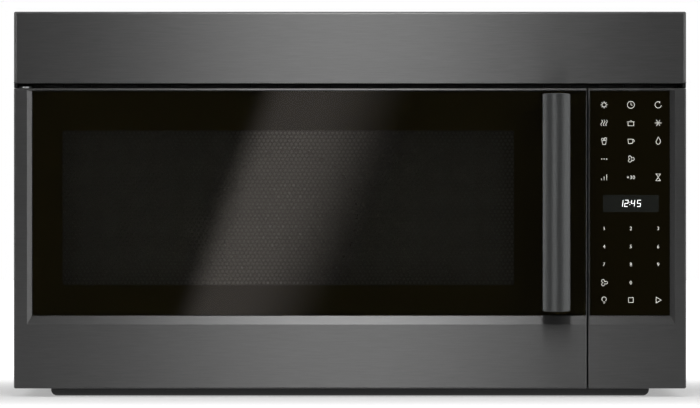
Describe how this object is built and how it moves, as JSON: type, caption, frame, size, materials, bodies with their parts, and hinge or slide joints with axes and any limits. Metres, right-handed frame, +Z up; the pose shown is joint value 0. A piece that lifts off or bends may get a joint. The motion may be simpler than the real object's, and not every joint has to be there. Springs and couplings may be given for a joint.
{
  "type": "over the range microwave",
  "caption": "Over the range microwave with convection: side hung glass door, touch panel, turntable oven, hood blower, grease and charcoal filters, and a wall plate.",
  "frame": {"origin": "under the middle of the whole oven, on the flat underside it stands on", "axes": "+X to the right as the cook sees it, the front and the handle face -Y, +Z up"},
  "size_m": [0.7604, 0.458, 0.4355],
  "materials": {
    "black_stainless": "horizontal fine brushed grain under a dark film",
    "handle_feet": "satin black cast zinc",
    "black_glass": "toughened glass, printed black behind",
    "clear_glass": "clear pressed soda glass",
    "frosted_lens": "frosted lens",
    "cabinet_paint": "satin black powder coat",
    "galvanised": "zinc coated sheet",
    "oven_enamel": "speckled grey enamel",
    "screen_black": "black perforated steel",
    "black_plastic": "fine grained moulded plastic",
    "pale_plastic": "natural acetal",
    "grey_plastic": "glass filled plastic",
    "filter_mesh": "expanded aluminium mesh in a folded frame",
    "carbon": "carbon granules in a ribbed tray",
    "motor_steel": "plated motor steel",
    "iron_core": "varnished laminations and copper windings",
    "can_aluminium": "drawn can",
    "circuit_board": "glass fibre board with parts",
    "mica": "mica sheet",
    "heater_steel": "sheathed element",
    "zinc_steel": "zinc plated screw steel",
    "lamp_white": "white reflector",
    "bush_rubber": "moulded rubber"
  },
  "bodies": {
    "cabinet": {"control_frame": "black_stainless", "vent_panel": "black_stainless", "control_glass": "black_glass", "vent_grille": "black_plastic", "control_housing": "black_plastic", "latch_board": "black_plastic", "interlock_switches": "black_plastic", "oven_cavity": "oven_enamel", "hinge_brackets": "galvanised", "hinge_pins": "zinc_steel", "cabinet_wrap": "cabinet_paint", "base_pan": "cabinet_paint", "rear_panel": "galvanised", "wall_plate": "galvanised", "duct_plate": "galvanised", "fan_shroud": "galvanised", "waveguide": "galvanised", "blower_housing": "galvanised", "convection_housing": "galvanised", "charcoal_filter": "carbon", "cooktop_lamps": "lamp_white", "lamp_lenses": "frosted_lens", "turntable_motor": "motor_steel", "convection_motor": "motor_steel", "blower_motor": "motor_steel", "fan_motor": "motor_steel", "convection_heater": "heater_steel", "waveguide_cover": "mica", "magnetron": "motor_steel", "hv_transformer": "iron_core", "hv_capacitor": "can_aluminium", "noise_filter": "circuit_board", "touch_board": "circuit_board", "control_board": "circuit_board", "cavity_lamp": "motor_steel", "cord_bush": "bush_rubber", "cabinet_screws": "zinc_steel"},
    "door": {"door_frame": "black_stainless", "door_glass": "black_glass", "door_liner": "black_plastic", "door_choke": "oven_enamel", "window_screen": "screen_black", "choke_cover": "black_plastic", "door_inner_window": "clear_glass", "door_handle": "black_stainless", "handle_posts": "handle_feet", "handle_screws": "zinc_steel"},
    "latch": {"latch_hooks": "pale_plastic"},
    "interlock": {"interlock_plungers": "pale_plastic"},
    "coupler": {"turntable_coupler": "pale_plastic"},
    "tray": {"glass_tray": "clear_glass"},
    "ring": {"roller_ring": "pale_plastic"},
    "roller_a": {"roller_1": "pale_plastic"},
    "roller_b": {"roller_2": "pale_plastic"},
    "roller_c": {"roller_3": "pale_plastic"},
    "convection_wheel": {"convection_fan": "motor_steel"},
    "cooling_wheel": {"cooling_fan": "grey_plastic"},
    "blower_rotor": {"blower_wheels": "grey_plastic"},
    "filter_left": {"grease_filter_left": "filter_mesh"},
    "filter_right": {"grease_filter_right": "filter_mesh"}
  },
  "joints": [
    {"name": "door_hinge", "type": "hinge", "parent": "cabinet", "child": "door", "pos_m": [-0.3684, -0.166, 0.0092], "axis": [0, 0, -1], "range_deg": [0, 105]},
    {"name": "latch_lift", "type": "slide", "parent": "door", "child": "latch", "axis": [0, 0, 1], "range_m": [0, 0.004], "stiffness_N_per_m": 150, "springref_m": -0.004},
    {"name": "interlock_push", "type": "slide", "parent": "cabinet", "child": "interlock", "axis": [0, 1, 0], "range_m": [0, 0.002], "stiffness_N_per_m": 200, "springref_m": -0.002},
    {"name": "turntable_spin", "type": "hinge", "parent": "cabinet", "child": "coupler", "pos_m": [-0.072, 0.01, 0.0788], "axis": [0, 0, 1], "continuous": true},
    {"name": "tray_lift", "type": "slide", "parent": "coupler", "child": "tray", "axis": [0, 0, 1], "range_m": [0, 0.06]},
    {"name": "ring_spin", "type": "hinge", "parent": "cabinet", "child": "ring", "pos_m": [-0.072, 0.01, 0.0788], "axis": [0, 0, 1], "continuous": true},
    {"name": "roller_a_spin", "type": "hinge", "parent": "ring", "child": "roller_a", "pos_m": [-0.072, 0.117, 0.0861], "axis": [0, 1, 0], "continuous": true},
    {"name": "roller_b_spin", "type": "hinge", "parent": "ring", "child": "roller_b", "pos_m": [-0.16467, -0.0435, 0.0861], "axis": [-0.866, -0.5, 0], "continuous": true},
    {"name": "roller_c_spin", "type": "hinge", "parent": "ring", "child": "roller_c", "pos_m": [0.02066, -0.0435, 0.0861], "axis": [0.866, -0.5, 0], "continuous": true},
    {"name": "convection_spin", "type": "hinge", "parent": "cabinet", "child": "convection_wheel", "pos_m": [-0.072, 0.184, 0.2028], "axis": [0, 1, 0], "continuous": true},
    {"name": "cooling_spin", "type": "hinge", "parent": "cabinet", "child": "cooling_wheel", "pos_m": [0.29, 0.1885, 0.2028], "axis": [0, 1, 0], "continuous": true},
    {"name": "blower_spin", "type": "hinge", "parent": "cabinet", "child": "blower_rotor", "pos_m": [0, 0.15, 0.3758], "axis": [1, 0, 0], "continuous": true},
    {"name": "filter_left_tilt", "type": "hinge", "parent": "cabinet", "child": "filter_left", "pos_m": [-0.16, 0.179, 0.0013], "axis": [1, 0, 0], "range_deg": [0, 70]},
    {"name": "filter_right_tilt", "type": "hinge", "parent": "cabinet", "child": "filter_right", "pos_m": [0.16, 0.179, 0.0013], "axis": [1, 0, 0], "range_deg": [0, 70]}
  ],
  "couplings": [
    {"joint": "ring_spin", "follows": "turntable_spin", "ratio": 0.5},
    {"joint": "roller_a_spin", "follows": "turntable_spin", "ratio": -7.6429},
    {"joint": "roller_b_spin", "follows": "turntable_spin", "ratio": -7.6429},
    {"joint": "roller_c_spin", "follows": "turntable_spin", "ratio": -7.6429}
  ]
}
